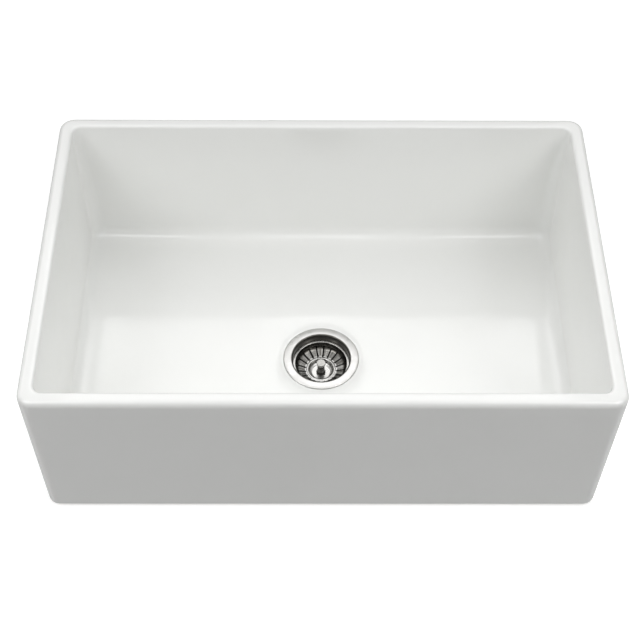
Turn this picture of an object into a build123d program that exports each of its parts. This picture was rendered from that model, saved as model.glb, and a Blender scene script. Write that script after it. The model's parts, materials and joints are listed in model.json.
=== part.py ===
from build123d import *
from math import atan, degrees
import os

os.makedirs("parts", exist_ok=True)

# Apron-front kitchen sink with its basket strainer, in millimetres.
# The origin is on the drain axis, in the plane of the basin's underside.
# X runs left to right, the apron faces -Y and Z is up.

# ---- Fireclay basin: outside sizes are taken at the rim ----
sink_width = 762.0
sink_depth = 508.0
sink_height = 254.0
wall_thickness = 20.0
floor_thickness = 22.0      # clay at the floor's low point, beside the drain recess
drain_forward = 10.0        # how far the drain stands in front of the middle
outer_lean = 5.0            # how far each outer side leans in from rim to underside
inner_lean = 3.0            # the same for each inner side, from rim to floor
outer_corner_radius = 20.0
mouth_corner_radius = 12.0  # inside corners at the rim
floor_corner_radius = 24.0  # the same corners where they reach the floor
cove_radius = 18.0          # cove between the walls and the floor
floor_slope = 0.014         # rise of the floor for each millimetre away from the drain
rim_outer_radius = 8.0
rim_inner_radius = 4.0
foot_radius = 10.0          # edge round the underside
drain_hole_radius = 46.0
recess_radius = 59.0        # shallow seat for the strainer's flange
recess_depth = 3.0
recess_lip = 6.0            # width of the soft slope from the floor into the seat
underside_seat_depth = 1.0  # clay ground away round the hole, so that the gasket seals
underside_seat_margin = 4.0 # how much wider than the gasket that ground seat is

# ---- Strainer body: one drawn cup of stainless sheet ----
body_sheet = 1.2
flange_radius = 56.0
flange_edge_bend = 1.8      # bends are given on the sheet's upper face
flange_throat_bend = 3.0
ledge_root_bend = 0.6
ledge_edge_bend = 1.5
cup_bend = 8.0
seat_bend = 6.0
lip_clearance = 0.2         # between the flange's turned-down edge and the clay
throat_radius = 42.0        # inside, from the flange down to the ledge
throat_depth = 12.9         # from the flange's face down to the ledge
cup_radius = 39.4           # inside, below the ledge
cup_depth = 52.0            # from the flange's face down to the stopper's seat
cup_dish = 6.0              # height of the cone between cup wall and seat
seat_radius = 28.5          # outer edge of the flat seat round the outlet
outlet_radius = 20.5        # bore of the outlet
thread_height = 1.2         # the rolled thread's crest above the cup's outside
thread_start = 3.0          # plain stretch between ledge and thread
thread_end = 2.0            # plain stretch between thread and dish

# ---- Outlet neck, brazed under the cup ----
neck_radius = 23.8
neck_length = 26.0
neck_flange_radius = 26.0
neck_flange_thickness = 2.0

# ---- Rings and nut that clamp the body in the clay ----
flange_gasket_thickness = 1.0
flange_gasket_width = 7.5
sink_gasket_radius = 56.0
sink_gasket_thickness = 3.0
friction_ring_radius = 54.0
friction_ring_thickness = 1.0
ring_clearance = 0.4        # radial, round the thread
thread_clearance = 0.1      # radial, between a nut's bore and the thread crests
lock_nut_radius = 49.0
lock_nut_height = 10.0
lock_nut_flange_radius = 54.0
lock_nut_flange_thickness = 2.5
lug_count = 8
lug_width = 9.0
lug_setback = 0.6           # the lugs end this far inside the nut's flange
lug_root = 1.0              # and start this far inside its body

# ---- Slip-joint washer and coupling nut for the tailpiece ----
tailpiece_radius = 19.05    # the 1 1/2 inch tube that plugs in here, not supplied
tailpiece_clearance = 0.35
tail_washer_thickness = 2.5
coupling_nut_flats = 57.0   # across flats
coupling_nut_grip = 17.0    # how far the nut reaches up the neck
coupling_nut_lip = 2.5
coupling_nut_collar_radius = 27.4
coupling_nut_collar_height = 6.0
coupling_nut_chamfer = 1.2
tail_washer_bore_clearance = 0.8   # radial, beyond the lip's bore
tail_washer_rim_clearance = 0.3    # radial, inside the nut

# ---- Basket: a pressed cup that stands on the ledge ----
basket_sheet = 0.8
basket_gap = 0.1            # under the basket's rim
basket_rim_clearance = 0.6  # radial, between rim and throat
basket_wall_clearance = 0.5  # radial, between basket wall and cup
basket_wall_taper = 0.8     # how much the wall closes in on its way down
basket_wall_height = 10.7   # straight wall, from the rim down to the bowl
basket_depth = 16.4         # from the rim down to the slotted floor
bead_outer_radius = 22.6    # raised bead round the dish
bead_inner_radius = 18.7
bead_height = 1.0
dish_wall_lean = 1.4        # the dish's wall closes in this much on its way down
dish_rise = 2.0             # height of the dish's own bowl
dish_radius = 13.5          # flat middle of the dish
dish_depth = 24.2           # from the rim down to that middle
basket_rim_bend = 1.2       # bends are given on the sheet's upper face
basket_bowl_bend = 8.0
bead_foot_bend = 3.0
bead_outer_bend = 1.6
bead_inner_bend = 1.4
dish_wall_bend = 2.0
dish_bend = 4.0
slot_count = 20
slot_width = 2.4
slot_outer_radius = 35.6    # centre of each slot's outer end
keyhole_radius = 1.7        # round hole at each slot's inner end
keyhole_position = 24.2     # its centre
slot_phase = 7.0            # degrees, so that two slots straddle the back

# ---- Plunger that slides through the basket ----
stem_radius = 5.5
stem_clearance = 0.06
bushing_wall = 0.74
bushing_fit = 0.05          # radial, in the dish's hole and in the clip
bushing_collar_radius = 6.9
bushing_collar_height = 2.8
bushing_collar_chamfer = 0.8
bushing_tail = 0.6          # how far the bushing passes the clip
clip_radius = 9.5
clip_thickness = 1.0
clip_slit_count = 6
clip_slit_width = 0.9
clip_slit_length = 1.6
knob_radius = 7.4
knob_base_radius = 5.9
knob_height = 5.2
knob_edge_radius = 0.8
knob_spigot_radius = 3.0
knob_spigot_length = 3.6
spigot_fit = 0.05           # radial, for every spigot in its hole
o_ring_section = 1.12       # diameter of the ring's round section
o_ring_squeeze = 0.04       # how far the ring stays inside the bushing's bore
o_ring_groove_width = 1.6
raised_gap = 0.3            # between bushing and stopper when the stopper is up
closed_gap = 0.3            # between stopper and seat when it is down
stopper_plate_radius = 22.0
stopper_plate_thickness = 1.2
stopper_seal_radius = 26.5
stopper_seal_thickness = 3.5
stopper_seal_bevel = 1.2
stopper_spigot_radius = 3.9
spigot_relief = 0.2         # the spigot ends this far inside the seal
screw_radius = 2.0
screw_length = 8.0
screw_head_radius = 6.0
screw_head_height = 2.4
screw_head_edge = 0.8
screw_slot_width = 1.2
screw_slot_depth = 1.1

# ---- Heights that follow from those sizes ----
recess_floor = floor_thickness - recess_depth
flange_under = recess_floor + flange_gasket_thickness
flange_top = flange_under + body_sheet
ledge_top = flange_top - throat_depth
seat_top = flange_top - cup_depth
neck_top = seat_top - body_sheet
neck_bottom = neck_top - neck_length
underside_seat_radius = sink_gasket_radius + underside_seat_margin
thread_radius = cup_radius + body_sheet + thread_height
thread_top = ledge_top - thread_start
thread_bottom = seat_top + cup_dish + thread_end
friction_ring_top = underside_seat_depth - sink_gasket_thickness
lock_nut_top = friction_ring_top - friction_ring_thickness
tail_washer_bottom = neck_bottom - tail_washer_thickness
coupling_nut_bottom = tail_washer_bottom - coupling_nut_lip
coupling_nut_top = neck_bottom + coupling_nut_grip
basket_rim_top = ledge_top + basket_gap + basket_sheet
basket_floor = basket_rim_top - basket_depth
dish_floor = basket_rim_top - dish_depth
dish_under = dish_floor - basket_sheet
clip_bottom = dish_under - clip_thickness
bushing_bottom = clip_bottom - bushing_tail
plate_top = bushing_bottom - raised_gap
seal_top = plate_top - stopper_plate_thickness
seal_bottom = seal_top - stopper_seal_thickness
stopper_travel = seal_bottom - seat_top - closed_gap
knob_top = basket_rim_top
knob_bottom = knob_top - knob_height


def ring(inner, outer, bottom, top):
    """Square-cut profile of a ring round the drain axis, drawn in XZ."""
    with Locations(((inner + outer) / 2, (bottom + top) / 2)):
        Rectangle(outer - inner, top - bottom)


def sheet_outline(points, bends, thickness):
    """Outline of one pressed sheet: its upper face runs through the points, from the
    rim inwards, and its thickness lies below and outside that line."""
    FilletPolyline(*points, radius=bends)
    offset(amount=thickness, side=Side.LEFT)


# ---------------- Fireclay basin ----------------

# The hollow: four slightly leaning walls, whose corners open out towards the floor,
# and a floor that falls to the drain from every side.
hollow_width = sink_width - 2 * wall_thickness
hollow_length = sink_depth - 2 * wall_thickness
with BuildPart() as hollow:
    with BuildSketch(Plane.XY.offset(sink_height)):
        with Locations((0, drain_forward)):
            RectangleRounded(hollow_width, hollow_length, mouth_corner_radius)
    with BuildSketch(Plane.XY):
        with Locations((0, drain_forward)):
            RectangleRounded(
                hollow_width - 2 * inner_lean, hollow_length - 2 * inner_lean, floor_corner_radius
            )
    loft(ruled=True)
    far_corner = sink_width + sink_depth
    with BuildSketch(Plane.XZ):
        with BuildLine():
            Polyline(
                (0, floor_thickness),
                (recess_radius, floor_thickness),
                (far_corner, floor_thickness + floor_slope * (far_corner - recess_radius)),
                (far_corner, 2 * sink_height),
                (0, 2 * sink_height),
                close=True,
            )
        make_face()
    revolve(axis=Axis.Z, mode=Mode.INTERSECT)
    sloping_floor = hollow.faces().filter_by(GeomType.CONE).sort_by(SortBy.AREA)[-1]
    fillet(sloping_floor.outer_wire().edges(), cove_radius)

with BuildPart() as sink_basin:
    with BuildSketch(Plane.XY.offset(sink_height)):
        with Locations((0, drain_forward)):
            RectangleRounded(sink_width, sink_depth, outer_corner_radius)
    extrude(amount=-sink_height, taper=degrees(atan(outer_lean / sink_height)))
    fillet(sink_basin.faces().sort_by(Axis.Z)[0].edges(), foot_radius)
    fillet(sink_basin.faces().sort_by(Axis.Z)[-1].edges(), rim_outer_radius)
    add(hollow.part, mode=Mode.SUBTRACT)
    rim_face = sink_basin.faces().sort_by(Axis.Z)[-1]
    fillet(rim_face.inner_wires()[0].edges(), rim_inner_radius)
    # drain hole, with the soft-edged seat for the flange and the ground seat below
    with BuildSketch(Plane.XZ):
        with BuildLine():
            Polyline(
                (0, sink_height),
                (recess_radius + recess_lip, sink_height),
                (recess_radius + recess_lip, floor_thickness + floor_slope * recess_lip),
                (recess_radius, recess_floor),
                (drain_hole_radius, recess_floor),
                (drain_hole_radius, underside_seat_depth),
                (underside_seat_radius, underside_seat_depth),
                (underside_seat_radius, -underside_seat_depth),
                (0, -underside_seat_depth),
                close=True,
            )
        make_face()
    revolve(axis=Axis.Z, mode=Mode.SUBTRACT)
sink_basin.part.label = "sink_basin"
export_step(sink_basin.part, "parts/sink_basin.step")

# ---------------- Strainer body and what clamps it ----------------

with BuildPart() as flange_gasket:
    gasket_outer = flange_radius - flange_edge_bend - lip_clearance
    with BuildSketch(Plane.XZ):
        ring(gasket_outer - flange_gasket_width, gasket_outer, recess_floor, flange_under)
    revolve(axis=Axis.Z)
flange_gasket.part.label = "flange_gasket"
export_step(flange_gasket.part, "parts/flange_gasket.step")

with BuildPart() as strainer_body:
    with BuildSketch(Plane.XZ):
        with BuildLine():
            sheet_outline(
                [
                    (flange_radius, recess_floor + lip_clearance),
                    (flange_radius, flange_top),
                    (throat_radius, flange_top),
                    (throat_radius, ledge_top),
                    (cup_radius, ledge_top),
                    (cup_radius, seat_top + cup_dish),
                    (seat_radius, seat_top),
                    (outlet_radius, seat_top),
                ],
                [
                    flange_edge_bend,
                    flange_throat_bend,
                    ledge_root_bend,
                    ledge_edge_bend,
                    cup_bend,
                    seat_bend,
                ],
                body_sheet,
            )
        make_face()
    revolve(axis=Axis.Z)
    with BuildSketch(Plane.XZ):
        ring(cup_radius + body_sheet / 2, thread_radius, thread_bottom, thread_top)
    revolve(axis=Axis.Z)
strainer_body.part.label = "strainer_body"
export_step(strainer_body.part, "parts/strainer_body.step")

with BuildPart() as outlet_neck:
    with BuildSketch(Plane.XZ):
        ring(outlet_radius, neck_radius, neck_bottom, neck_top)
        ring(outlet_radius, neck_flange_radius, neck_top - neck_flange_thickness, neck_top)
    revolve(axis=Axis.Z)
outlet_neck.part.label = "outlet_neck"
export_step(outlet_neck.part, "parts/outlet_neck.step")

with BuildPart() as sink_gasket:
    with BuildSketch(Plane.XZ):
        gasket_bore = thread_radius + ring_clearance
        ring(gasket_bore, sink_gasket_radius, friction_ring_top, underside_seat_depth)
    revolve(axis=Axis.Z)
sink_gasket.part.label = "sink_gasket"
export_step(sink_gasket.part, "parts/sink_gasket.step")

with BuildPart() as friction_ring:
    with BuildSketch(Plane.XZ):
        ring(thread_radius + ring_clearance, friction_ring_radius, lock_nut_top, friction_ring_top)
    revolve(axis=Axis.Z)
friction_ring.part.label = "friction_ring"
export_step(friction_ring.part, "parts/friction_ring.step")

# A cast ring with a wide bearing flange and a crown of lugs for the spanner
with BuildPart() as lock_nut:
    nut_bottom = lock_nut_top - lock_nut_height
    with BuildSketch(Plane.XY.offset(lock_nut_top)):
        Circle(lock_nut_radius)
    extrude(amount=-lock_nut_height)
    with BuildSketch(Plane.XY.offset(nut_bottom)):
        lug_start = lock_nut_radius - lug_root
        lug_end = lock_nut_flange_radius - lug_setback
        with PolarLocations((lug_start + lug_end) / 2, lug_count):
            Rectangle(lug_end - lug_start, lug_width)
    extrude(amount=lock_nut_height - lock_nut_flange_thickness)
    with BuildSketch(Plane.XY.offset(lock_nut_top)):
        Circle(lock_nut_flange_radius)
    extrude(amount=-lock_nut_flange_thickness)
    with Locations((0, 0, lock_nut_top)):
        Hole(thread_radius + thread_clearance)
lock_nut.part.label = "lock_nut"
export_step(lock_nut.part, "parts/lock_nut.step")

with BuildPart() as tail_washer:
    with BuildSketch(Plane.XZ):
        washer_bore = tailpiece_radius + tailpiece_clearance + tail_washer_bore_clearance
        washer_rim = neck_radius - tail_washer_rim_clearance
        ring(washer_bore, washer_rim, tail_washer_bottom, neck_bottom)
    revolve(axis=Axis.Z)
tail_washer.part.label = "tail_washer"
export_step(tail_washer.part, "parts/tail_washer.step")

# Hexagonal body with a round collar below, and a lip that will hold the tailpiece
with BuildPart() as coupling_nut:
    hexagon_bottom = coupling_nut_bottom + coupling_nut_collar_height
    with BuildSketch(Plane.XY.offset(hexagon_bottom)):
        RegularPolygon(coupling_nut_flats / 2, 6, major_radius=False)
    extrude(amount=coupling_nut_top - hexagon_bottom)
    # a lathe turns the hexagon's corners off at both ends
    turned_radius = coupling_nut_flats / 2 - coupling_nut_chamfer / 2
    half_height = (coupling_nut_top - hexagon_bottom) / 2
    with BuildSketch(Plane.XZ):
        with BuildLine():
            Polyline(
                (0, hexagon_bottom),
                (turned_radius, hexagon_bottom),
                (turned_radius + half_height, hexagon_bottom + half_height),
                (turned_radius, coupling_nut_top),
                (0, coupling_nut_top),
                close=True,
            )
        make_face()
    revolve(axis=Axis.Z, mode=Mode.INTERSECT)
    with BuildSketch(Plane.XY.offset(coupling_nut_bottom)):
        Circle(coupling_nut_collar_radius)
    extrude(amount=coupling_nut_collar_height)
    chamfer(coupling_nut.edges().group_by(Axis.Z)[0], coupling_nut_chamfer)
    with BuildSketch(Plane.XY.offset(coupling_nut_top)):
        Circle(neck_radius + thread_clearance)
    extrude(amount=tail_washer_bottom - coupling_nut_top, mode=Mode.SUBTRACT)
    with BuildSketch(Plane.XY.offset(coupling_nut_bottom)):
        Circle(tailpiece_radius + tailpiece_clearance)
    extrude(amount=coupling_nut_lip, mode=Mode.SUBTRACT)
coupling_nut.part.label = "coupling_nut"
export_step(coupling_nut.part, "parts/coupling_nut.step")

# ---------------- Basket ----------------

# One pressed cup: rolled rim, short wall, slotted bowl, raised bead and centre dish
basket_rim_radius = throat_radius - basket_rim_clearance
basket_wall_radius = cup_radius - basket_wall_clearance - basket_sheet
bushing_radius = stem_radius + stem_clearance + bushing_wall
with BuildPart() as basket_cup:
    with BuildSketch(Plane.XZ):
        with BuildLine():
            sheet_outline(
                [
                    (basket_rim_radius, basket_rim_top),
                    (basket_wall_radius, basket_rim_top),
                    (basket_wall_radius - basket_wall_taper, basket_rim_top - basket_wall_height),
                    (bead_outer_radius, basket_floor),
                    ((bead_outer_radius + bead_inner_radius) / 2, basket_floor + bead_height),
                    (bead_inner_radius, basket_floor + bead_height),
                    (bead_inner_radius - dish_wall_lean, dish_floor + dish_rise),
                    (dish_radius, dish_floor),
                    (bushing_radius + bushing_fit, dish_floor),
                ],
                [
                    basket_rim_bend,
                    basket_bowl_bend,
                    bead_foot_bend,
                    bead_outer_bend,
                    bead_inner_bend,
                    dish_wall_bend,
                    dish_bend,
                ],
                basket_sheet,
            )
        make_face()
    revolve(axis=Axis.Z)
    # keyhole slots, cut straight down
    with BuildSketch(Plane.XY.offset(basket_rim_top)):
        slot_middle = (slot_outer_radius + keyhole_position) / 2
        with PolarLocations(slot_middle, slot_count, start_angle=90 - slot_phase):
            SlotCenterToCenter(slot_outer_radius - keyhole_position, slot_width)
        with PolarLocations(keyhole_position, slot_count, start_angle=90 - slot_phase):
            Circle(keyhole_radius)
    extrude(amount=-dish_depth, mode=Mode.SUBTRACT)
basket_cup.part.label = "basket_cup"
export_step(basket_cup.part, "parts/basket_cup.step")

with BuildPart() as stem_bushing:
    with BuildSketch(Plane.XZ):
        bore = stem_radius + stem_clearance
        ring(bore, bushing_radius, bushing_bottom, dish_floor)
        ring(bore, bushing_collar_radius, dish_floor, dish_floor + bushing_collar_height)
    revolve(axis=Axis.Z)
    collar_rim = stem_bushing.edges().group_by(Axis.Z)[-1].sort_by(SortBy.LENGTH)[-1]
    chamfer(collar_rim, bushing_collar_chamfer)
stem_bushing.part.label = "stem_bushing"
export_step(stem_bushing.part, "parts/stem_bushing.step")

# Push-on clip under the dish, slit so that it springs over the bushing
with BuildPart() as bushing_clip:
    with BuildSketch(Plane.XY.offset(dish_under)):
        Circle(clip_radius)
        Circle(bushing_radius + bushing_fit, mode=Mode.SUBTRACT)
        with PolarLocations(bushing_radius + clip_slit_length / 2, clip_slit_count):
            Rectangle(clip_slit_length, clip_slit_width, mode=Mode.SUBTRACT)
    extrude(amount=-clip_thickness)
bushing_clip.part.label = "bushing_clip"
export_step(bushing_clip.part, "parts/bushing_clip.step")

# ---------------- Plunger ----------------

o_ring_centre = (dish_floor + bushing_collar_height + bushing_bottom) / 2
o_ring_major_radius = stem_radius + stem_clearance - o_ring_squeeze - o_ring_section / 2
with BuildPart() as plunger_stem:
    with BuildSketch(Plane.XZ):
        ring(0, stem_radius, plate_top, knob_bottom)
        ring(0, knob_spigot_radius, knob_bottom, knob_bottom + knob_spigot_length)
        ring(0, stopper_spigot_radius, seal_bottom + spigot_relief, plate_top)
    revolve(axis=Axis.Z)
    with BuildSketch(Plane.XZ):
        groove_floor = o_ring_major_radius - o_ring_section / 2
        half_groove = o_ring_groove_width / 2
        ring(groove_floor, 2 * stem_radius, o_ring_centre - half_groove, o_ring_centre + half_groove)
    revolve(axis=Axis.Z, mode=Mode.SUBTRACT)
    with BuildSketch(Plane.XY.offset(seal_bottom)):
        Circle(screw_radius + spigot_fit)
    extrude(amount=screw_length + spigot_fit, mode=Mode.SUBTRACT)
plunger_stem.part.label = "plunger_stem"
export_step(plunger_stem.part, "parts/plunger_stem.step")

with BuildPart() as stem_o_ring:
    with BuildSketch(Plane.XZ):
        with Locations((o_ring_major_radius, o_ring_centre)):
            Circle(o_ring_section / 2)
    revolve(axis=Axis.Z)
stem_o_ring.part.label = "stem_o_ring"
export_step(stem_o_ring.part, "parts/stem_o_ring.step")

# Flared finger knob, turned from bar and screwed on the stem's upper spigot
with BuildPart() as knob_cap:
    with BuildSketch(Plane.XZ):
        with BuildLine():
            base = Line((0, knob_bottom), (knob_base_radius, knob_bottom))
            flare = TangentArc(base @ 1, (knob_radius, knob_top), tangent=(0, 1))
            Polyline(flare @ 1, (0, knob_top), base @ 0)
        make_face()
    revolve(axis=Axis.Z)
    fillet(knob_cap.edges().group_by(Axis.Z)[-1], knob_edge_radius)
    with BuildSketch(Plane.XY.offset(knob_bottom)):
        Circle(knob_spigot_radius + spigot_fit)
    extrude(amount=knob_spigot_length + spigot_fit, mode=Mode.SUBTRACT)
knob_cap.part.label = "knob_cap"
export_step(knob_cap.part, "parts/knob_cap.step")

with BuildPart() as stopper_plate:
    with BuildSketch(Plane.XZ):
        ring(stopper_spigot_radius + spigot_fit, stopper_plate_radius, seal_top, plate_top)
    revolve(axis=Axis.Z)
stopper_plate.part.label = "stopper_plate"
export_step(stopper_plate.part, "parts/stopper_plate.step")

with BuildPart() as stopper_seal:
    with BuildSketch(Plane.XZ):
        ring(stopper_spigot_radius + spigot_fit, stopper_seal_radius, seal_bottom, seal_top)
    revolve(axis=Axis.Z)
    upper_rim = stopper_seal.edges().group_by(Axis.Z)[-1].sort_by(SortBy.LENGTH)[-1]
    chamfer(upper_rim, stopper_seal_bevel)
stopper_seal.part.label = "stopper_seal"
export_step(stopper_seal.part, "parts/stopper_seal.step")

with BuildPart() as stopper_screw:
    with BuildSketch(Plane.XZ):
        ring(0, screw_radius, seal_bottom, seal_bottom + screw_length)
        ring(0, screw_head_radius, seal_bottom - screw_head_height, seal_bottom)
    revolve(axis=Axis.Z)
    head_rim = stopper_screw.edges().group_by(Axis.Z)[0]
    fillet(head_rim, screw_head_edge)
    with BuildSketch(Plane.XY.offset(seal_bottom - screw_head_height)):
        Rectangle(2 * screw_head_radius, screw_slot_width)
    extrude(amount=screw_slot_depth, mode=Mode.SUBTRACT)
stopper_screw.part.label = "stopper_screw"
export_step(stopper_screw.part, "parts/stopper_screw.step")

print("stopper travel", round(stopper_travel, 3))
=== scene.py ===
import json
from math import hypot, pi, radians, tau

import bmesh
import bpy
from mathutils import Euler, Matrix, Vector

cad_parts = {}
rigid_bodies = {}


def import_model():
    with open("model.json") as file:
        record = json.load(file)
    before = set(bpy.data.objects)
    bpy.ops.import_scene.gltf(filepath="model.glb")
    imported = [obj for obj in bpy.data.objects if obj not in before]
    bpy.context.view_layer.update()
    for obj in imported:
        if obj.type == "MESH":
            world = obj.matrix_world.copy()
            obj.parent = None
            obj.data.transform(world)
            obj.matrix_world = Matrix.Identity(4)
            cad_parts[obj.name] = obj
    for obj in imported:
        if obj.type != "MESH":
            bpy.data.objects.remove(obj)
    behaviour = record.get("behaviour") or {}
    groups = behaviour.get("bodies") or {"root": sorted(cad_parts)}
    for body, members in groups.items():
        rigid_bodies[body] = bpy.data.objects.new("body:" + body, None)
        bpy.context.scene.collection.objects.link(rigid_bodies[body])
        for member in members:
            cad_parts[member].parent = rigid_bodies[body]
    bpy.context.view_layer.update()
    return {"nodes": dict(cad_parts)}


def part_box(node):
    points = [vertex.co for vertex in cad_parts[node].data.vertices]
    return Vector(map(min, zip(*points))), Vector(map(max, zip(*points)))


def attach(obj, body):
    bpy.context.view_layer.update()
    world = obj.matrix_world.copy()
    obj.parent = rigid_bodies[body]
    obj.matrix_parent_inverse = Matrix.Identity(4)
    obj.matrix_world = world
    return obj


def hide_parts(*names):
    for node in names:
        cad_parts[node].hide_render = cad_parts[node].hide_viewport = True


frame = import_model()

bpy.ops.object.select_all(action="DESELECT")

# ======================================================================================
# Basin. One slip-cast piece of fireclay: the front wall is the apron, the four walls lean
# in a little towards the bottom, and the floor falls to the drain from every side. It is
# fired under a thick white glaze, and its underside is ground flat and left bare.
# ======================================================================================
basin_low, basin_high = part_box("sink_basin")
rim_width, rim_depth = 0.762, 0.508
rim_level = basin_high[2]
middle = (basin_low[1] + basin_high[1]) / 2      # the basin's centre lies behind the drain
wall = 0.020
outer_lean, inner_lean = 0.005, 0.003
outer_corner, mouth_corner, floor_corner = 0.020, 0.012, 0.0235
foot_round, rim_outer_round, rim_inner_round, cove_round = 0.010, 0.008, 0.004, 0.018
floor_level = 0.022                              # at the edge of the drain's seat
floor_slope = 0.014
slope_reach = 0.400                              # the slope's run, from the seat to the far corners
seat_radius, seat_lip = 0.059, 0.006
seat_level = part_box("flange_gasket")[0][2]
hole_radius = 0.046
ground_radius, ground_level = 0.060, 0.001       # seat ground round the hole from below
long_parts, short_parts, corner_parts = 24, 16, 8
ring_parts = 2 * (long_parts + short_parts) + 4 * corner_parts
outer_cuts, inner_cuts, floor_cuts, foot_cuts = 8, 7, 9, 3
hair, speck = 1e-5, 1e-6


def radius_of(place):
    return hypot(place.x, place.y)


def reach(place):
    """How far out a point lies: 1 on the outside of the rim and less inside it."""
    return max(abs(place.x) / (rim_width / 2), abs(place.y - middle) / (rim_depth / 2))


def near(value, target, gap=hair):
    return abs(value - target) < gap


def select_edges(test):
    """Selects the edges whose two ends both pass the test, and the faces they close."""
    mesh = bmesh.from_edit_mesh(bpy.context.edit_object.data)
    bpy.ops.mesh.select_mode(type="EDGE")
    bpy.ops.mesh.select_all(action="DESELECT")
    for edge in mesh.edges:
        if all(test(end.co) for end in edge.verts):
            edge.select_set(True)
    bmesh.update_edit_mesh(bpy.context.edit_object.data)


def select_points(test):
    mesh = bmesh.from_edit_mesh(bpy.context.edit_object.data)
    bpy.ops.mesh.select_mode(type="VERT")
    bpy.ops.mesh.select_all(action="DESELECT")
    for point in mesh.verts:
        if test(point.co):
            point.select_set(True)
    mesh.select_flush_mode()
    bmesh.update_edit_mesh(bpy.context.edit_object.data)


def start_piece(name):
    """An empty mesh in edit mode, at the origin, in which a piece is then drawn."""
    bpy.ops.object.select_all(action="DESELECT")
    bpy.ops.mesh.primitive_plane_add(size=1)
    bpy.context.object.name = name
    bpy.ops.object.mode_set(mode="EDIT")
    bpy.ops.mesh.delete(type="VERT")
    return bpy.context.object


def rounded_outline(width, depth, corner, level):
    """A closed line with round corners, with the same number of points at any size."""
    centre = (0, middle, level)
    bpy.ops.mesh.select_mode(type="VERT")
    bpy.ops.mesh.select_all(action="DESELECT")
    bpy.ops.mesh.primitive_plane_add(size=1, location=centre)
    bpy.ops.transform.resize(value=(width, depth, 1), center_override=centre)
    bpy.ops.mesh.delete(type="ONLY_FACE")
    for parts, axis, length in ((long_parts, 0, width), (short_parts, 1, depth)):
        mesh = bmesh.from_edit_mesh(bpy.context.edit_object.data)
        bpy.ops.mesh.select_all(action="DESELECT")
        for edge in mesh.edges:
            start, end = (point.co for point in edge.verts)
            if near(start.z, level) and near(abs(end[axis] - start[axis]), length):
                edge.select_set(True)
        bpy.ops.mesh.subdivide(number_cuts=parts - 1)
    select_points(
        lambda p: near(p.z, level)
        and near(abs(p.x), width / 2)
        and near(abs(p.y - middle), depth / 2)
    )
    bpy.ops.mesh.bevel(offset=corner, segments=corner_parts, affect="VERTICES")


def turn_profile(points, rounds, parts):
    """Draws a line through (radius, height) points, rounds its corners and spins it
    round the drain axis. The corner radii go with the points between its two ends."""
    bpy.ops.mesh.select_mode(type="VERT")
    bpy.ops.mesh.select_all(action="DESELECT")
    bpy.ops.mesh.primitive_plane_add(size=0.001, location=(points[0][0], 0, points[0][1]))
    bpy.ops.mesh.merge(type="CENTER")
    for here, there in zip(points, points[1:]):
        step = (there[0] - here[0], 0, there[1] - here[1])
        bpy.ops.mesh.extrude_vertices_move(TRANSFORM_OT_translate={"value": step})
    bpy.ops.mesh.select_linked()
    bpy.ops.mesh.hide(unselected=True)
    for (radius, height), corner in zip(points[1:-1], rounds):
        if corner:
            select_points(lambda p: near(p.x, radius, speck) and near(p.z, height, speck))
            bpy.ops.mesh.bevel(offset_type="OFFSET", offset=corner, segments=3, affect="VERTICES")
    bpy.ops.mesh.select_all(action="SELECT")
    bpy.ops.mesh.spin(steps=parts, angle=tau, center=(0, 0, 0), axis=(0, 0, 1))
    bpy.ops.mesh.select_all(action="SELECT")
    bpy.ops.mesh.remove_doubles(threshold=speck)
    bpy.ops.mesh.reveal(select=False)


basin = start_piece("fireclay_basin")
mouth_width, mouth_depth = rim_width - 2 * wall, rim_depth - 2 * wall
outer_floor = floor_level + floor_slope * (slope_reach + seat_lip)   # floor before it is sloped
mouth_reach = mouth_width / rim_width + hair
for width, depth, lean, corner, level in (
    (rim_width, rim_depth, outer_lean, outer_corner - outer_lean, 0),
    (rim_width, rim_depth, 0, outer_corner, rim_level),
    (mouth_width, mouth_depth, 0, mouth_corner, rim_level),
    (mouth_width, mouth_depth, inner_lean, floor_corner, outer_floor),
):
    rounded_outline(width - 2 * lean, depth - 2 * lean, corner, level)

# the rim, the outside and the inside are bridged from outline to outline
select_edges(lambda p: near(p.z, rim_level))
bpy.ops.mesh.bridge_edge_loops()
select_edges(lambda p: near(p.z, 0) or (near(p.z, rim_level) and reach(p) > mouth_reach))
bpy.ops.mesh.bridge_edge_loops(number_cuts=outer_cuts, interpolation="LINEAR")
select_edges(lambda p: near(p.z, outer_floor) or (near(p.z, rim_level) and reach(p) < mouth_reach))
bpy.ops.mesh.bridge_edge_loops(number_cuts=inner_cuts, interpolation="LINEAR")
for level in (0, outer_floor):
    select_edges(lambda p: near(p.z, level))
    bpy.ops.mesh.edge_face_add()
bpy.ops.mesh.select_all(action="SELECT")
bpy.ops.mesh.normals_make_consistent(inside=False)

# the four edges are rounded, each by its own radius, and the two lids come off again
for level, outside, radius, parts in (
    (0, True, foot_round, 6),
    (rim_level, True, rim_outer_round, 6),
    (rim_level, False, rim_inner_round, 4),
    (outer_floor, False, cove_round, 7),
):
    select_edges(lambda p: near(p.z, level) and (reach(p) > mouth_reach) == outside)
    bpy.ops.mesh.bevel(offset=radius, segments=parts, affect="EDGES", clamp_overlap=False)
mesh = bmesh.from_edit_mesh(basin.data)
bpy.ops.mesh.select_mode(type="FACE")
bpy.ops.mesh.select_all(action="DESELECT")
for face in mesh.faces:
    face.select_set(len(face.verts) == ring_parts)
bpy.ops.mesh.delete(type="ONLY_FACE")


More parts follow.
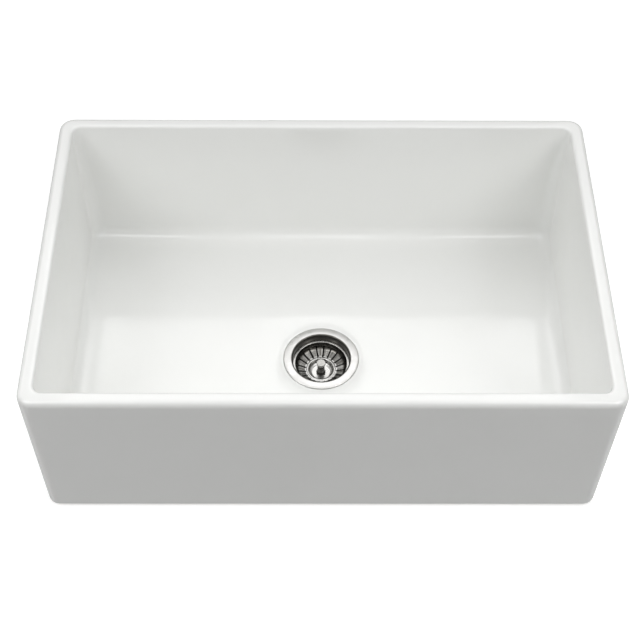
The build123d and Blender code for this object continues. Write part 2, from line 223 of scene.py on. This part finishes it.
def close_to_ring(level, radius, above, cuts):
    """Runs a flat face from a lid's empty edge in to a ring round the drain. The ring is
    drawn above or below that edge, so that the bridge can't twist, and then set level."""
    ring_level = level + above
    bpy.ops.mesh.select_mode(type="EDGE")
    bpy.ops.mesh.select_all(action="DESELECT")
    bpy.ops.mesh.primitive_circle_add(vertices=ring_parts, radius=radius, location=(0, 0, ring_level))
    select_edges(lambda p: near(p.z, ring_level) or (near(p.z, level) and reach(p) < 1 - hair))
    bpy.ops.mesh.bridge_edge_loops(number_cuts=cuts, interpolation="LINEAR")
    lowest, highest = sorted((level, ring_level))
    select_points(lambda p: lowest - hair < p.z < highest + hair and reach(p) < mouth_reach)
    bpy.ops.transform.resize(value=(1, 1, 0), center_override=(0, 0, level))


# the floor and the underside run in to the drain, and the floor is let down towards it
seat_edge = seat_radius + seat_lip
seat_top = floor_level + floor_slope * seat_lip
ring_shift = 0.02
close_to_ring(outer_floor, seat_edge, -ring_shift, floor_cuts)
close_to_ring(0, ground_radius, ring_shift, foot_cuts)
cove_top = outer_floor + 1.1 * cove_round
select_edges(lambda p: outer_floor - hair < p.z < cove_top and reach(p) < mouth_reach)
bpy.ops.mesh.hide(unselected=True)
select_edges(lambda p: near(p.z, outer_floor) and near(radius_of(p), seat_edge))
bpy.ops.transform.translate(
    value=(0, 0, -floor_slope * slope_reach),
    use_proportional_edit=True,
    proportional_edit_falloff="LINEAR",
    proportional_size=slope_reach,
)
bpy.ops.mesh.reveal(select=False)

# the flange's seat, the hole and the ground seat below are turned in one line
lip_round, hole_top_round, hole_foot_round, ground_round = 0.002, 0.0015, 0.0004, 0.0003
turn_profile(
    [
        (seat_edge, seat_top),
        (seat_radius, seat_level),
        (hole_radius, seat_level),
        (hole_radius, ground_level),
        (ground_radius, ground_level),
        (ground_radius, 0),
    ],
    [lip_round, hole_top_round, hole_foot_round, ground_round],
    ring_parts,
)
bpy.ops.mesh.select_all(action="SELECT")
bpy.ops.mesh.remove_doubles(threshold=hair)
bpy.ops.mesh.normals_make_consistent(inside=False)
bpy.ops.object.mode_set(mode="OBJECT")
bpy.ops.object.modifier_add(type="SUBSURF")
basin.modifiers["Subdivision"].levels = 1
basin.modifiers["Subdivision"].render_levels = 1
bpy.ops.object.modifier_apply(modifier="Subdivision")
bpy.ops.object.shade_smooth()
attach(basin, "sink")
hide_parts("sink_basin")


def add_node(tree, kind, settings, sockets):
    """Adds a shader node. A socket, by name or number, takes a value or another's output."""
    made = tree.nodes.new(kind)
    for name, value in settings.items():
        setattr(made, name, value)
    for name, value in sockets.items():
        if isinstance(value, bpy.types.NodeSocket):
            tree.links.new(value, made.inputs[name])
        else:
            made.inputs[name].default_value = value
    return made


def start_group(name, inputs, outputs):
    """A node group with named sockets. An input is (name, kind, usual value)."""
    group = bpy.data.node_groups.new(name, "ShaderNodeTree")
    for socket, kind, usual in inputs:
        made = group.interface.new_socket(socket, in_out="INPUT", socket_type="NodeSocket" + kind)
        if usual is not None:
            made.default_value = usual
    for socket, kind in outputs:
        group.interface.new_socket(socket, in_out="OUTPUT", socket_type="NodeSocket" + kind)
    return group, group.nodes.new("NodeGroupInput").outputs, group.nodes.new("NodeGroupOutput").inputs


def place_group(tree, group, sockets):
    return add_node(tree, "ShaderNodeGroup", {"node_tree": group}, sockets).outputs


def start_material(name):
    """A new material: its tree, its Principled shader and the object's own coordinates."""
    material = bpy.data.materials.new(name)
    material.use_nodes = True
    tree = material.node_tree
    place = add_node(tree, "ShaderNodeTexCoord", {}, {}).outputs["Object"]
    return material, tree, tree.nodes["Principled BSDF"], place


def mix_colours(tree, share, first, second):
    mixed = add_node(tree, "ShaderNodeMix", {"data_type": "RGBA"}, {0: share, 6: first, 7: second})
    return mixed.outputs[2]


def calculate(tree, operation, first, second):
    return add_node(tree, "ShaderNodeMath", {"operation": operation}, {0: first, 1: second}).outputs[0]


noise_low, noise_high = 0.3, 0.7                 # most of a noise texture lies between these


def spread_noise(tree, noise, lowest, highest):
    """Stretches a noise texture's value, so that it reaches from a lowest to a highest."""
    spread = add_node(
        tree,
        "ShaderNodeMapRange",
        {},
        {
            "Value": noise.outputs["Fac"],
            "From Min": noise_low,
            "From Max": noise_high,
            "To Min": lowest,
            "To Max": highest,
        },
    )
    return spread.outputs["Result"]


# unevenness of any finish: soft patches between a lowest and a highest value
mottle, given, result = start_group(
    "soft mottle",
    [
        ("Coordinates", "Vector", None),
        ("Scale", "Float", 10.0),
        ("Detail", "Float", 2.0),
        ("Lowest", "Float", 0.0),
        ("Highest", "Float", 1.0),
    ],
    [("Value", "Float")],
)
clouds = add_node(
    mottle,
    "ShaderNodeTexNoise",
    {},
    {"Vector": given["Coordinates"], "Scale": given["Scale"], "Detail": given["Detail"]},
)
mottle.links.new(spread_noise(mottle, clouds, given["Lowest"], given["Highest"]), result["Value"])

# relief of any finish: hollows of a given depth, added to the relief before it
relief, given, result = start_group(
    "fine relief",
    [
        ("Coordinates", "Vector", None),
        ("Scale", "Float", 100.0),
        ("Detail", "Float", 1.0),
        ("Depth", "Float", 0.0001),
        ("Normal", "Vector", None),
    ],
    [("Normal", "Vector")],
)
hollows = add_node(
    relief,
    "ShaderNodeTexNoise",
    {},
    {"Vector": given["Coordinates"], "Scale": given["Scale"], "Detail": given["Detail"]},
)
pressed = add_node(
    relief,
    "ShaderNodeBump",
    {},
    {"Height": hollows.outputs["Fac"], "Distance": given["Depth"], "Normal": given["Normal"]},
)
relief.links.new(pressed.outputs["Normal"], result["Normal"])

# edges of any finish: 1 along a convex edge and 0 on the flat, broken up by patches
edge_wear, given, result = start_group(
    "edge wear",
    [("Coordinates", "Vector", None), ("Width", "Float", 0.001), ("Breaks", "Float", 200.0)],
    [("Mask", "Float")],
)
flat_likeness, edge_likeness = 0.99, 0.85        # of the softened normal to the true one
softened = add_node(edge_wear, "ShaderNodeBevel", {"samples": 4}, {"Radius": given["Width"]})
true_normal = add_node(edge_wear, "ShaderNodeNewGeometry", {}, {}).outputs["Normal"]
turned_by = add_node(
    edge_wear,
    "ShaderNodeVectorMath",
    {"operation": "DOT_PRODUCT"},
    {0: softened.outputs["Normal"], 1: true_normal},
)
sharp = add_node(
    edge_wear,
    "ShaderNodeMapRange",
    {},
    {
        "Value": turned_by.outputs["Value"],
        "From Min": flat_likeness,
        "From Max": edge_likeness,
    },
)
breaks = place_group(
    edge_wear, mottle, {"Coordinates": given["Coordinates"], "Scale": given["Breaks"], "Detail": 3.0}
)
edge_wear.links.new(
    calculate(edge_wear, "MULTIPLY", sharp.outputs["Result"], breaks["Value"]), result["Mask"]
)

glaze, tree, shader, place = start_material("white_glaze_on_fireclay")
glaze_pale, glaze_full = (0.885, 0.890, 0.872, 1), (0.900, 0.905, 0.890, 1)
thin_glaze, bare_clay, clay_shadow = (0.80, 0.79, 0.755, 1), (0.72, 0.68, 0.60, 1), (0.60, 0.55, 0.46, 1)
glaze_line = 0.0035                              # the glaze is wiped off below this level
thin_share, clay_roughness = 0.4, 0.85
height = add_node(tree, "ShaderNodeSeparateXYZ", {}, {"Vector": place}).outputs["Z"]
drift = place_group(
    tree,
    mottle,
    {"Coordinates": place, "Scale": 40.0, "Detail": 4.0, "Lowest": -0.0015, "Highest": 0.0015},
)
wiped = calculate(tree, "LESS_THAN", calculate(tree, "ADD", height, drift["Value"]), glaze_line)
tone = place_group(tree, mottle, {"Coordinates": place, "Scale": 5.0, "Detail": 3.0})
thin = place_group(tree, edge_wear, {"Coordinates": place, "Width": 0.003, "Breaks": 25.0})
grain = place_group(tree, mottle, {"Coordinates": place, "Scale": 350.0, "Detail": 4.0})
glazed_colour = mix_colours(tree, tone["Value"], glaze_pale, glaze_full)
thinned = calculate(tree, "MULTIPLY", thin["Mask"], thin_share)
glazed_colour = mix_colours(tree, thinned, glazed_colour, thin_glaze)
clay_colour = mix_colours(tree, grain["Value"], clay_shadow, bare_clay)
tree.links.new(mix_colours(tree, wiped, glazed_colour, clay_colour), shader.inputs["Base Color"])
gloss = place_group(
    tree, mottle, {"Coordinates": place, "Scale": 14.0, "Detail": 2.0, "Lowest": 0.06, "Highest": 0.11}
)
roughness = calculate(tree, "MAXIMUM", gloss["Value"], calculate(tree, "MULTIPLY", wiped, clay_roughness))
tree.links.new(roughness, shader.inputs["Roughness"])
waves = place_group(
    tree, relief, {"Coordinates": place, "Scale": 22.0, "Detail": 1.0, "Depth": 0.00008}
)
peel = place_group(
    tree,
    relief,
    {
        "Coordinates": place,
        "Scale": 420.0,
        "Detail": 1.0,
        "Depth": 0.0000025,
        "Normal": waves["Normal"],
    },
)
clay_grains = add_node(
    tree,
    "ShaderNodeBump",
    {},
    {
        "Height": calculate(tree, "MULTIPLY", wiped, grain["Value"]),
        "Distance": 0.0002,
        "Normal": peel["Normal"],
    },
)
tree.links.new(clay_grains.outputs["Normal"], shader.inputs["Normal"])
shader.inputs["IOR"].default_value = 1.52
basin.data.materials.append(glaze)

# ======================================================================================
# Strainer body. A cup drawn from one stainless sheet, its flange polished and its outside
# threaded below the clay. It is dropped into the hole from above, on a ring of soft foam
# that seals the flange to the glaze.
# ======================================================================================
# where a turned piece is: its distance from the drain axis and its height, both in metres
turned_place, given, result = start_group(
    "turned place", [("Coordinates", "Vector", None)], [("Radius", "Float"), ("Height", "Float")]
)
parts = add_node(turned_place, "ShaderNodeSeparateXYZ", {}, {"Vector": given["Coordinates"]}).outputs
flat = add_node(turned_place, "ShaderNodeCombineXYZ", {}, {"X": parts["X"], "Y": parts["Y"]}).outputs[0]
from_axis = add_node(turned_place, "ShaderNodeVectorMath", {"operation": "LENGTH"}, {0: flat})
turned_place.links.new(from_axis.outputs["Value"], result["Radius"])
turned_place.links.new(parts["Z"], result["Height"])

# fine rings round the drain axis, as a value between a lowest and a highest and as a relief
turned_marks, given, result = start_group(
    "turned marks",
    [
        ("Coordinates", "Vector", None),
        ("Pitch", "Float", 0.0005),
        ("Lowest", "Float", 0.1),
        ("Highest", "Float", 0.3),
        ("Depth", "Float", 0.00001),
        ("Normal", "Vector", None),
    ],
    [("Value", "Float"), ("Normal", "Vector")],
)
where = place_group(turned_marks, turned_place, {"Coordinates": given["Coordinates"]})
along = calculate(turned_marks, "ADD", where["Radius"], where["Height"])
lines = add_node(
    turned_marks,
    "ShaderNodeTexNoise",
    {"noise_dimensions": "1D"},
    {"W": calculate(turned_marks, "DIVIDE", along, given["Pitch"]), "Scale": 1.0, "Detail": 3.0},
)
scored = add_node(
    turned_marks,
    "ShaderNodeBump",
    {},
    {"Height": lines.outputs["Fac"], "Distance": given["Depth"], "Normal": given["Normal"]},
)
turned_marks.links.new(
    spread_noise(turned_marks, lines, given["Lowest"], given["Highest"]), result["Value"]
)
turned_marks.links.new(scored.outputs["Normal"], result["Normal"])


def turned_metal(name, dull, bright, pitch, smooth, rough, depth, wear_width, finish=None, form=None):
    """Metal with fine rings round the drain axis, patchy in tone and brighter on its edges.
    A finish makes another colour of it by place, and a form gives it a fine shape."""
    material, tree, shader, place = start_material(name)
    marks = {"Coordinates": place, "Pitch": pitch, "Lowest": smooth, "Highest": rough, "Depth": depth}
    if form:
        marks["Normal"] = form(tree, place)
    marks = place_group(tree, turned_marks, marks)
    patches = place_group(tree, mottle, {"Coordinates": place, "Scale": 60.0, "Detail": 3.0})
    worn = place_group(tree, edge_wear, {"Coordinates": place, "Width": wear_width, "Breaks": 300.0})
    share = calculate(tree, "MAXIMUM", patches["Value"], worn["Mask"])
    colour = mix_colours(tree, share, dull, bright)
    if finish:
        colour = finish(tree, place, colour)
    tree.links.new(colour, shader.inputs["Base Color"])
    smears = place_group(
        tree, mottle, {"Coordinates": place, "Scale": 120.0, "Detail": 2.0, "Lowest": 0.8, "Highest": 1.2}
    )
    roughness = calculate(tree, "MULTIPLY", marks["Value"], smears["Value"])
    tree.links.new(roughness, shader.inputs["Roughness"])
    tree.links.new(marks["Normal"], shader.inputs["Normal"])
    shader.inputs["Metallic"].default_value = 1.0
    return material


def soft_part(name, dark, pale, grain_scale, grain_depth, smooth, rough):
    """Rubber, foam, fibre or plastic: two tones in patches over a fine grain."""
    material, tree, shader, place = start_material(name)
    patches = place_group(tree, mottle, {"Coordinates": place, "Scale": grain_scale / 6, "Detail": 4.0})
    tree.links.new(mix_colours(tree, patches["Value"], dark, pale), shader.inputs["Base Color"])
    sheen = place_group(
        tree,
        mottle,
        {"Coordinates": place, "Scale": grain_scale / 2, "Lowest": smooth, "Highest": rough},
    )
    tree.links.new(sheen["Value"], shader.inputs["Roughness"])
    grain = place_group(
        tree,
        relief,
        {"Coordinates": place, "Scale": grain_scale, "Detail": 3.0, "Depth": grain_depth},
    )
    tree.links.new(grain["Normal"], shader.inputs["Normal"])
    return material


def dress(node, material):
    frame["nodes"][node].material_slots[0].material = material


def ramp(tree, value, start, end, first=0.0, last=1.0):
    """The first value up to the start and the last from the end on, with a soft change."""
    made = add_node(
        tree,
        "ShaderNodeMapRange",
        {"interpolation_type": "SMOOTHSTEP"},
        {"Value": value, "From Min": start, "From Max": end, "To Min": first, "To Max": last},
    )
    return made.outputs["Result"]


# the throat's near black is painted shade: the dark it would reflect and the shade inside the cup,
# painted into its colour
flange_shine, throat_painted_shade = (0.50, 0.495, 0.485, 1), (0.075, 0.072, 0.066, 1)
flange_inside, throat_edge = 0.0452, 0.0436      # radii between which the polish ends
ledge_under, ledge_height = 0.0069, 0.0071       # the plain outside begins between these
cup_inside = 0.0400                              # radius within the cup's sheet
level_share = 0.1                                # a steeper face has less of its normal upright


def flange_and_throat(tree, place, colour):
    """The flange is polished; the throat and, below the ledge, the cup's inside and its upward faces
    carry a painted shade, and the rest is plain.
    """
    where = place_group(tree, turned_place, {"Coordinates": place})
    above = ramp(tree, where["Height"], ledge_under, ledge_height)
    polished = ramp(tree, where["Radius"], throat_edge, flange_inside)
    # painted shade on the throat, inside the polished flange
    upper = mix_colours(tree, polished, throat_painted_shade, flange_shine)
    facing = add_node(tree, "ShaderNodeNewGeometry", {}, {}).outputs["Normal"]
    facing_up = add_node(tree, "ShaderNodeSeparateXYZ", {}, {"Vector": facing}).outputs["Z"]
    # below the ledge: painted shade within the cup's radius and on upward faces, but not on faces that
    # look down
    inside = calculate(
        tree,
        "MAXIMUM",
        calculate(tree, "LESS_THAN", where["Radius"], cup_inside),
        calculate(tree, "GREATER_THAN", facing_up, level_share),
    )
    not_under = calculate(tree, "GREATER_THAN", facing_up, -level_share)
    inside = calculate(tree, "MULTIPLY", inside, not_under)
    lower = mix_colours(tree, inside, colour, throat_painted_shade)
    return mix_colours(tree, above, lower, upper)


dome_start, dome_fall = 0.0460, 11.0             # the flange falls by this times the run squared


def domed_flange(tree, place):
    """The flange's sheet, flat in the solid, is shaded as if it fell off outwards."""
    where = place_group(tree, turned_place, {"Coordinates": place})
    run = calculate(tree, "MAXIMUM", calculate(tree, "SUBTRACT", where["Radius"], dome_start), 0.0)
    squared = calculate(tree, "MULTIPLY", run, run)
    fall = calculate(tree, "MULTIPLY", squared, -dome_fall)
    return add_node(tree, "ShaderNodeBump", {}, {"Height": fall, "Distance": 1.0}).outputs["Normal"]


polished_steel = turned_metal(
    "polished_stainless",
    dull=(0.62, 0.61, 0.59, 1),
    bright=(0.74, 0.73, 0.71, 1),
    pitch=0.0004,
    smooth=0.10,
    rough=0.20,
    depth=0.000002,
    wear_width=0.0004,
)
strainer_steel = turned_metal(
    "drawn_stainless",
    dull=(0.50, 0.49, 0.47, 1),
    bright=(0.66, 0.65, 0.63, 1),
    pitch=0.0004,
    smooth=0.28,
    rough=0.40,
    depth=0.000002,
    wear_width=0.0004,
    finish=flange_and_throat,
    form=domed_flange,
)
gasket_foam = soft_part(
    "closed_cell_foam",
    dark=(0.62, 0.62, 0.60, 1),
    pale=(0.78, 0.78, 0.76, 1),
    grain_scale=1500.0,
    grain_depth=0.0002,
    smooth=0.7,
    rough=0.9,
)
dress("strainer_body", strainer_steel)
dress("flange_gasket", gasket_foam)

# ======================================================================================
# Outlet neck. A short stainless tube with a flange, brazed under the cup and threaded
# outside, 1 1/2 inch size, for the slip joint of the tailpiece.
# ======================================================================================
dress("outlet_neck", strainer_steel)

# ======================================================================================
# Sealing from below. A thick black rubber washer is pushed up against the clay, then a
# ring of pressed fibre, on which the nut turns without dragging the rubber round.
# ======================================================================================
black_rubber = soft_part(
    "black_rubber",
    dark=(0.030, 0.030, 0.032, 1),
    pale=(0.060, 0.060, 0.063, 1),
    grain_scale=900.0,
    grain_depth=0.00005,
    smooth=0.5,
    rough=0.7,
)
pressed_fibre = soft_part(
    "pressed_fibre",
    dark=(0.33, 0.25, 0.16, 1),
    pale=(0.50, 0.40, 0.28, 1),
    grain_scale=2200.0,
    grain_depth=0.0001,
    smooth=0.8,
    rough=0.95,
)
dress("sink_gasket", black_rubber)
dress("friction_ring", pressed_fibre)

# ======================================================================================
# Lock nut. A cast brass ring with eight lugs, faced and threaded on a lathe, run up the
# cup's thread and tightened with a spud wrench.
# ======================================================================================
cast_brass = turned_metal(
    "cast_brass",
    dull=(0.52, 0.37, 0.16, 1),
    bright=(0.78, 0.60, 0.30, 1),
    pitch=0.0012,
    smooth=0.28,
    rough=0.45,
    depth=0.00001,
    wear_width=0.0006,
)
dress("lock_nut", cast_brass)

# ======================================================================================
# Slip joint. A flanged washer of milky polyethylene closes the joint, and a plated
# hexagonal nut draws it up against the end of the neck.
# ======================================================================================
milky_plastic = soft_part(
    "milky_polyethylene",
    dark=(0.78, 0.78, 0.75, 1),
    pale=(0.86, 0.86, 0.83, 1),
    grain_scale=300.0,
    grain_depth=0.00002,
    smooth=0.3,
    rough=0.45,
)
plated_brass = turned_metal(
    "nickel_plated_brass",
    dull=(0.72, 0.72, 0.73, 1),
    bright=(0.82, 0.82, 0.83, 1),
    pitch=0.0015,
    smooth=0.08,
    rough=0.15,
    depth=0.000003,
    wear_width=0.0004,
)
dress("tail_washer", milky_plastic)
dress("coupling_nut", plated_brass)

# ======================================================================================
# Basket. Pressed from thin stainless sheet, with twenty keyhole slots, a bead and a dish
# in the middle. A turned bushing guides the plunger through the dish, and a slit spring
# clip pushed on from below holds it.
# ======================================================================================
streak_count = 26
streak_scale = streak_count / tau * 2            # of a noise on a circle with a radius of 1
# the streaks' tones: the pressed steel's radial grain, with painted reflections, dark and pale
streak_painted_dark, streak_painted_pale = (0.07, 0.066, 0.06, 1), (0.34, 0.335, 0.32, 1)
# painted shade for the inside of the basket's wall, and a painted highlight for its rim
wall_painted_shade, rim_painted_highlight = (0.10, 0.096, 0.088, 1), (0.42, 0.415, 0.40, 1)
streaks_start, streaks_full = 0.0235, 0.0247     # radii at the inside of the slotted bowl
wall_shade_starts, wall_shade_full = 0.0322, 0.0352        # and at its outside
rim_highlight_starts, rim_highlight_full = 0.0086, 0.0090            # heights, above which the rim's painted highlight lies


def streaked_bowl(tree, place, colour):
    """The bowl is streaked from its centre out, with painted reflections in the streaks; the inside of
    its wall gets a painted shade and the rim a painted highlight.
    """
    where = place_group(tree, turned_place, {"Coordinates": place})
    parts = add_node(tree, "ShaderNodeSeparateXYZ", {}, {"Vector": place}).outputs
    flat = add_node(tree, "ShaderNodeCombineXYZ", {}, {"X": parts["X"], "Y": parts["Y"]}).outputs[0]
    direction = add_node(tree, "ShaderNodeVectorMath", {"operation": "NORMALIZE"}, {0: flat}).outputs[0]
    streaks = place_group(
        tree, mottle, {"Coordinates": direction, "Scale": streak_scale, "Detail": 3.0}
    )
    # painted reflections: the bowl's streaks turn dark and pale
    streaked = mix_colours(tree, streaks["Value"], streak_painted_dark, streak_painted_pale)
    bowl = ramp(tree, where["Radius"], streaks_start, streaks_full)
    colour = mix_colours(tree, bowl, colour, streaked)
    facing = add_node(tree, "ShaderNodeNewGeometry", {}, {}).outputs["Normal"]
    outward = add_node(
        tree, "ShaderNodeVectorMath", {"operation": "DOT_PRODUCT"}, {0: facing, 1: direction}
    )
    # painted shade on the faces that look into the basket, near its wall
    inside = calculate(tree, "LESS_THAN", outward.outputs["Value"], level_share)
    wall_share = ramp(tree, where["Radius"], wall_shade_starts, wall_shade_full)
    painted_wall_shade = calculate(tree, "MULTIPLY", wall_share, inside)
    colour = mix_colours(tree, painted_wall_shade, colour, wall_painted_shade)
    # painted highlight along the rim
    rim = ramp(tree, where["Height"], rim_highlight_starts, rim_highlight_full)
    return mix_colours(tree, rim, colour, rim_painted_highlight)


basket_steel = turned_metal(
    "pressed_stainless",
    dull=(0.38, 0.375, 0.365, 1),
    bright=(0.50, 0.495, 0.48, 1),
    pitch=0.0005,
    smooth=0.20,
    rough=0.32,
    depth=0.000003,
    wear_width=0.0003,
    finish=streaked_bowl,
)
# the bushing and the post: steel painted nearly black, a painted shade for the dark deep in the drain
painted_shade_steel = turned_metal(
    "turned_steel_painted_shade",
    dull=(0.035, 0.034, 0.031, 1),
    bright=(0.075, 0.072, 0.067, 1),
    pitch=0.0006,
    smooth=0.18,
    rough=0.32,
    depth=0.000004,
    wear_width=0.0003,
)
dress("basket_cup", basket_steel)
dress("bushing_clip", polished_steel)
dress("stem_bushing", painted_shade_steel)

# ======================================================================================
# Plunger. A turned post with a flared finger knob above and the stopper below: a plate
# and a rubber disc held by a screw. A rubber ring on the post grips the bushing.
# ======================================================================================
# the post, in the steel with painted shade
dress("plunger_stem", painted_shade_steel)
knob_steel = turned_metal(
    "brushed_stainless",
    dull=(0.24, 0.235, 0.225, 1),
    bright=(0.38, 0.375, 0.36, 1),
    pitch=0.0005,
    smooth=0.20,
    rough=0.30,
    depth=0.000003,
    wear_width=0.0003,
)
dress("knob_cap", knob_steel)
dress("stem_o_ring", black_rubber)
dress("stopper_plate", polished_steel)
dress("stopper_seal", black_rubber)
dress("stopper_screw", polished_steel)

# ======================================================================================
# Studio. A plain white floor, with a hole for the strainer, which hangs below the basin,
# plain white surroundings and soft lamps: two in front, three overhead, three behind and
# one at each side.
# ======================================================================================
floor_hole, floor_edge = 0.062, 5.0
floor_at = -0.0003                               # a hair below the underside
floor = start_piece("studio_floor")
floor_rings, floor_parts = (floor_hole, 0.4, 1.2, floor_edge), 96
turn_profile([(radius, floor_at) for radius in floor_rings], [0, 0], floor_parts)
bpy.ops.mesh.select_all(action="SELECT")
bpy.ops.mesh.normals_make_consistent(inside=False)
bpy.ops.object.mode_set(mode="OBJECT")
if floor.data.polygons[0].normal.z < 0:
    floor.data.flip_normals()

paper = bpy.data.materials.new("white_paper")
paper.use_nodes = True
tree = paper.node_tree
tree.nodes.clear()
paper_colour = (0.72, 0.72, 0.72, 1)
camera_lift, mirror_lift = 0.56, 0.25            # whitens the floor that camera and mirrors see
far_start, far_end, far_lift = 0.7, 1.8, 1.0     # and, away from the sink, makes it one with the white
path = add_node(tree, "ShaderNodeLightPath", {}, {}).outputs
matt = add_node(tree, "ShaderNodeBsdfDiffuse", {}, {"Color": paper_colour})
place = add_node(tree, "ShaderNodeTexCoord", {}, {}).outputs["Object"]
from_drain = add_node(tree, "ShaderNodeVectorMath", {"operation": "LENGTH"}, {0: place})
lift = ramp(tree, from_drain.outputs["Value"], far_start, far_end, camera_lift, far_lift)
lift = calculate(
    tree,
    "ADD",
    calculate(tree, "MULTIPLY", path["Is Camera Ray"], lift),
    calculate(tree, "MULTIPLY", path["Is Glossy Ray"], mirror_lift),
)
glow = add_node(tree, "ShaderNodeEmission", {}, {"Strength": lift})
front = add_node(tree, "ShaderNodeAddShader", {}, {0: matt.outputs[0], 1: glow.outputs[0]})
clear = add_node(tree, "ShaderNodeBsdfTransparent", {}, {})
# from below the floor isn't there, nor for light that leaves the underside it touches
contact_gap = 0.002
behind = add_node(tree, "ShaderNodeNewGeometry", {}, {}).outputs["Backfacing"]
touched = calculate(tree, "LESS_THAN", path["Ray Length"], contact_gap)
hidden = calculate(tree, "MAXIMUM", behind, touched)
whole = add_node(tree, "ShaderNodeMixShader", {}, {0: hidden, 1: front.outputs[0], 2: clear.outputs[0]})
add_node(tree, "ShaderNodeOutputMaterial", {}, {"Surface": whole.outputs[0]})
floor.data.materials.append(paper)

# the surroundings are white to the camera. Reflections show them white overhead and greyer
# towards the walls of the room, and what they light the object with is less again, but for
# the light from under the floor, which reaches only what is seen from there.
walls_seen, ceiling_seen = 0.40, 1.00
walls_end, ceiling_start = 0.50, 0.80            # as the upward part of a direction
ambient, from_below = 0.10, 0.55
level_edge, below_edge = -0.05, -0.30
studio = bpy.data.worlds.new("white_studio")
bpy.context.scene.world = studio
studio.use_nodes = True
tree = studio.node_tree
path = add_node(tree, "ShaderNodeLightPath", {}, {}).outputs
towards = add_node(tree, "ShaderNodeTexCoord", {}, {}).outputs["Generated"]
upward = add_node(tree, "ShaderNodeSeparateXYZ", {}, {"Vector": towards}).outputs["Z"]
mirrored = ramp(tree, upward, walls_end, ceiling_start, walls_seen, ceiling_seen)
mirrored = calculate(tree, "MULTIPLY", path["Is Glossy Ray"], mirrored)
seen = calculate(tree, "MAXIMUM", path["Is Camera Ray"], path["Is Transmission Ray"])
seen = calculate(tree, "MAXIMUM", seen, mirrored)
lighting = ramp(tree, upward, below_edge, level_edge, from_below, ambient)
background = tree.nodes["Background"]
background.inputs["Color"].default_value = (1, 1, 1, 1)
tree.links.new(calculate(tree, "MAXIMUM", seen, lighting), background.inputs["Strength"])


basin_centre = Vector((0, middle, rim_level / 2))


def softbox(name, place, width, depth, power):
    """A soft lamp that stands at its place and is turned towards the basin's centre."""
    bpy.ops.object.light_add(type="AREA", location=place)
    lamp = bpy.context.object
    lamp.name = name
    lamp.data.shape = "RECTANGLE"
    lamp.data.size, lamp.data.size_y = width, depth
    lamp.data.energy = power
    lamp.rotation_euler = (basin_centre - Vector(place)).to_track_quat("-Z", "Y").to_euler()


softbox("overhead_softbox", (0, -0.50, 1.35), width=0.3, depth=0.9, power=1.5)
softbox("back_softbox", (0, 1.00, 1.90), width=1.4, depth=0.8, power=6.7)
for side, sign in (("left", -1), ("right", 1)):
    softbox(side + "_overhead_softbox", (sign * 0.60, -0.50, 1.35), width=0.3, depth=0.9, power=3.0)
    softbox(side + "_back_softbox", (sign * 1.10, 1.45, 1.65), width=1.0, depth=1.0, power=3.0)
    softbox(side + "_side_softbox", (sign * 1.80, 0.45, 1.00), width=0.9, depth=0.9, power=3.0)
    softbox(side + "_front_softbox", (sign * 1.00, -0.50, 1.20), width=0.6, depth=0.6, power=4.5)

# the camera stands in front of the sink and looks down into it
camera_data = bpy.data.cameras.new("camera")
camera = bpy.data.objects.new("camera", camera_data)
bpy.context.collection.objects.link(camera)
bpy.context.scene.camera = camera
camera_data.sensor_width = 36
camera_data.lens = 75.75
camera.location = (-0.0170, -1.1802, 1.6243)
looks_down, looks_right, leans = radians(52.029), radians(0.715), radians(0.637)
aim = Euler((pi / 2 - looks_down, 0, -looks_right)).to_matrix() @ Matrix.Rotation(leans, 3, "Z")
camera.rotation_euler = aim.to_euler()
bpy.context.scene.view_settings.view_transform = "Standard"
